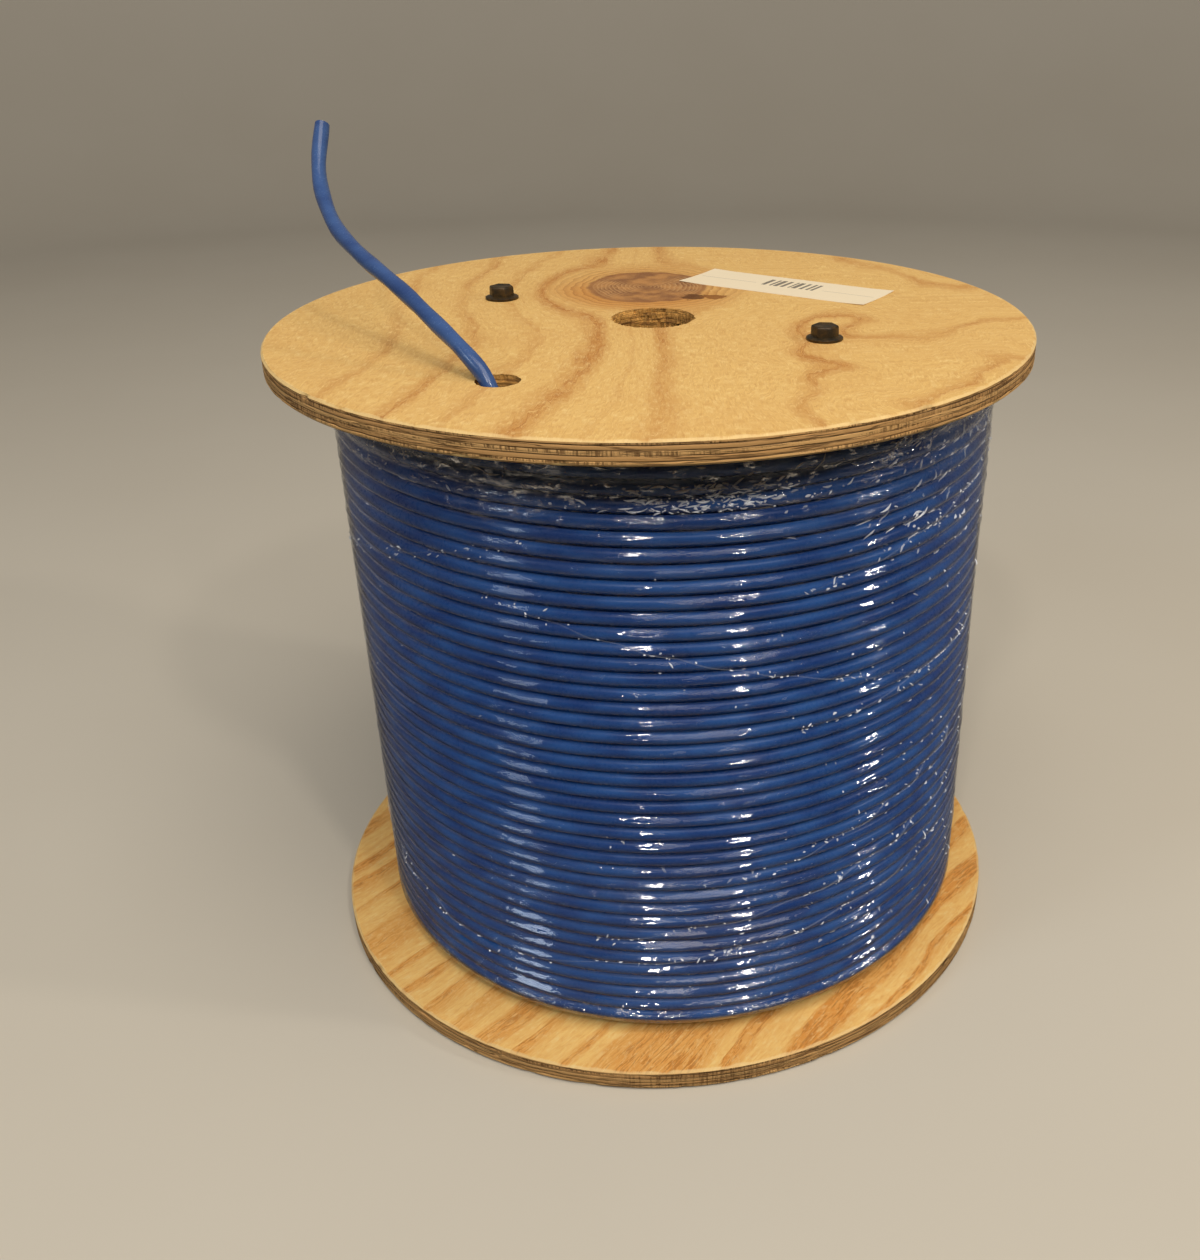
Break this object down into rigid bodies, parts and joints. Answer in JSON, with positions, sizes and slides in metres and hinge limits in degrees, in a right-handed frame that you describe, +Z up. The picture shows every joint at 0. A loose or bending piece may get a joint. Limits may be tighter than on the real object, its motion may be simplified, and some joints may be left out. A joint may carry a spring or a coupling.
{
  "type": "wooden cable drum",
  "caption": "Plywood cable reel loaded with blue data cable under clear stretch film, standing on one flange, with a central arbor hole for a pay-out shaft.",
  "frame": {"origin": "centre of the bottom flange's outer face, on the drum's axis", "axes": "+Z up along the drum's axis, +X to the right and +Y away in the picture"},
  "size_m": [0.305, 0.305, 0.3422],
  "materials": {
    "plywood": "sanded softwood plywood, unfinished",
    "fibre_tube": "spiral wound fibre tube",
    "cable_jacket": "smooth blue cable jacket",
    "film": "clear stretch film",
    "dark_steel": "dark phosphate and oil",
    "zinc_steel": "zinc plated",
    "label_paper": "matt white label paper"
  },
  "bodies": {
    "root": {"top_flange": "plywood", "bottom_flange": "plywood", "barrel": "fibre_tube", "cable_winding": "cable_jacket", "stretch_film": "film", "tie_bolt_1": "dark_steel", "tie_bolt_2": "dark_steel", "tee_nut_1": "zinc_steel", "tee_nut_2": "zinc_steel", "label": "label_paper", "cable_tail": "cable_jacket"}
  },
  "joints": []
}
